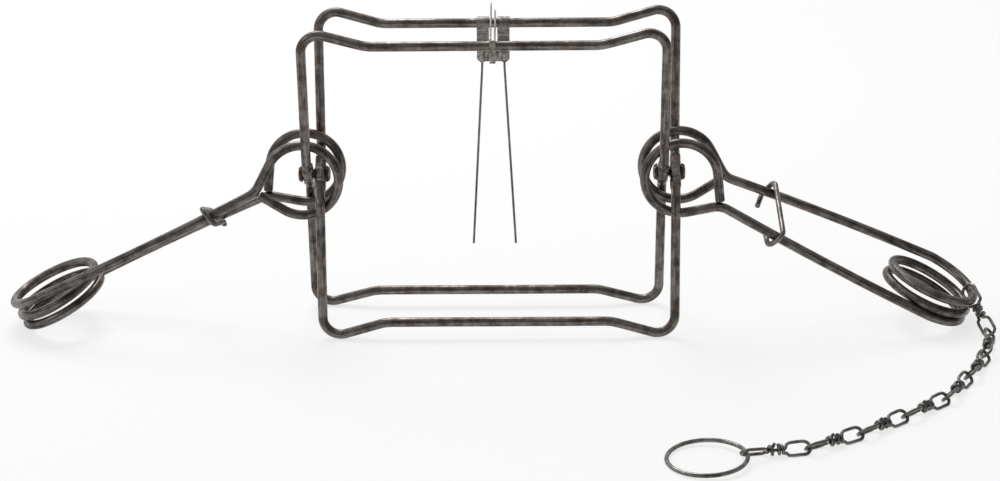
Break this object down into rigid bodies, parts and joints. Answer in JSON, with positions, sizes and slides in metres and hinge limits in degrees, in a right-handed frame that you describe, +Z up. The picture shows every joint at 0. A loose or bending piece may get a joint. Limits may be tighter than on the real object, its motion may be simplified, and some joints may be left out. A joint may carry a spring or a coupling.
{
  "type": "body grip trap",
  "caption": "Double-spring body grip trap: two rod jaws crossing at riveted pivots, coil springs with eyes, dog, trigger and anchor chain",
  "frame": {"origin": "centre of the footprint of the whole trap with its chain, on the floor that the lower bars stand on", "axes": "+X along both springs, from the left coil to the right coil; +Y from the front of the trap to its back, the way the dog points; +Z up"},
  "size_m": [0.8373, 0.3758, 0.2681],
  "materials": {
    "rod_steel": "hot-rolled bar, bare and oiled, dark grey-brown with light surface rust",
    "spring_steel": "hard-drawn spring wire, dark and oiled, rubbed on its high sides",
    "pivot_steel": "peened rivets and stamped washers, brownish",
    "trigger_steel": "stamped sheet, dull grey with scuffs",
    "hook_wire": "bent wire, dull dark grey",
    "trigger_wire": "thin drawn wire, grey-brown",
    "chain_wire": "twisted wire links, dull grey with brown stain"
  },
  "bodies": {
    "pivots": {"left_rivet": "pivot_steel", "right_rivet": "pivot_steel", "left_washers": "pivot_steel", "right_washers": "pivot_steel"},
    "jaw_a": {"jaw_a": "rod_steel"},
    "jaw_b": {"jaw_b": "rod_steel"},
    "dog": {"dog": "trigger_steel"},
    "trigger": {"trigger_plate": "trigger_steel", "trigger_rivet": "trigger_steel", "left_trigger_wire": "trigger_wire", "right_trigger_wire": "trigger_wire"},
    "left_spring": {"left_spring": "spring_steel"},
    "right_spring": {"right_spring": "spring_steel"},
    "left_safety_hook": {"left_safety_hook": "hook_wire"},
    "right_safety_hook": {"right_safety_hook": "hook_wire"},
    "chain_link_1": {"chain_link_1": "chain_wire"},
    "chain_link_2": {"chain_link_2": "chain_wire"},
    "chain_link_3": {"chain_link_3": "chain_wire"},
    "chain_link_4": {"chain_link_4": "chain_wire"},
    "chain_link_5": {"chain_link_5": "chain_wire"},
    "chain_link_6": {"chain_link_6": "chain_wire"},
    "chain_link_7": {"chain_link_7": "chain_wire"},
    "chain_link_8": {"chain_link_8": "chain_wire"},
    "end_ring": {"end_ring": "chain_wire"}
  },
  "joints": [
    {"name": "jaw_a_swing", "type": "hinge", "parent": "pivots", "child": "jaw_a", "pos_m": [-0.00431, 0.12788, 0.13406], "axis": [1, 0, 0], "range_deg": [0, 69]},
    {"name": "jaw_b_swing", "type": "hinge", "parent": "pivots", "child": "jaw_b", "pos_m": [-0.00431, 0.12788, 0.13406], "axis": [1, 0, 0], "range_deg": [-69, 0]},
    {"name": "dog_swing", "type": "hinge", "parent": "jaw_a", "child": "dog", "pos_m": [-0.00231, 0.08988, 0.25406], "axis": [1, 0, 0], "range_deg": [0, 96.6]},
    {"name": "trigger_swing", "type": "hinge", "parent": "jaw_b", "child": "trigger", "pos_m": [-0.00231, 0.16588, 0.25406], "axis": [-1, 0, 0], "range_deg": [-45, 45]},
    {"name": "left_spring_swing", "type": "hinge", "parent": "pivots", "child": "left_spring", "pos_m": [-0.16261, 0.12788, 0.13406], "axis": [0, 1, 0], "range_deg": [-35, 60]},
    {"name": "right_spring_swing", "type": "hinge", "parent": "pivots", "child": "right_spring", "pos_m": [0.15399, 0.12788, 0.13406], "axis": [0, -1, 0], "range_deg": [-35, 60]},
    {"name": "left_hook_slide", "type": "slide", "parent": "left_spring", "child": "left_safety_hook", "axis": [0.9004, 0, 0.435], "range_m": [0, 0.012]},
    {"name": "right_hook_slide", "type": "slide", "parent": "right_spring", "child": "right_safety_hook", "axis": [-0.9008, 0, 0.4343], "range_m": [0, 0.012]},
    {"name": "chain_hold_swing", "type": "hinge", "parent": "right_spring", "child": "chain_link_1", "pos_m": [0.40442, 0.1171, 0.02277], "axis": [-0.3097, -0.9504, 0.0286], "range_deg": [-6, 6]},
    {"name": "chain_joint_1", "type": "hinge", "parent": "chain_link_1", "child": "chain_link_2", "pos_m": [0.41354, 0.08303, 0.00498], "axis": [0, 0, 1], "range_deg": [-5, 15]},
    {"name": "chain_joint_2", "type": "hinge", "parent": "chain_link_2", "child": "chain_link_3", "pos_m": [0.4006, 0.03474, 0.00498], "axis": [0, 0, -1], "range_deg": [-15, 15]},
    {"name": "chain_joint_3", "type": "hinge", "parent": "chain_link_3", "child": "chain_link_4", "pos_m": [0.3779, -0.00981, 0.00498], "axis": [0, 0, 1], "range_deg": [-15, 15]},
    {"name": "chain_joint_4", "type": "hinge", "parent": "chain_link_4", "child": "chain_link_5", "pos_m": [0.35215, -0.05267, 0.00498], "axis": [0, 0, -1], "range_deg": [-15, 15]},
    {"name": "chain_joint_5", "type": "hinge", "parent": "chain_link_5", "child": "chain_link_6", "pos_m": [0.31442, -0.08547, 0.00498], "axis": [0, 0, 1], "range_deg": [-15, 15]},
    {"name": "chain_joint_6", "type": "hinge", "parent": "chain_link_6", "child": "chain_link_7", "pos_m": [0.27556, -0.11694, 0.00498], "axis": [0, 0, -1], "range_deg": [-15, 15]},
    {"name": "chain_joint_7", "type": "hinge", "parent": "chain_link_7", "child": "chain_link_8", "pos_m": [0.2327, -0.14269, 0.00498], "axis": [0, 0, 1], "range_deg": [-15, 15]},
    {"name": "end_ring_swing", "type": "hinge", "parent": "chain_link_8", "child": "end_ring", "pos_m": [0.18346, -0.15137, 0.00498], "axis": [0, 0, 1], "range_deg": [-12, 8]}
  ],
  "couplings": [
    {"joint": "jaw_b_swing", "follows": "jaw_a_swing", "ratio": -1},
    {"joint": "dog_swing", "follows": "jaw_a_swing", "ratio": 1.4}
  ]
}
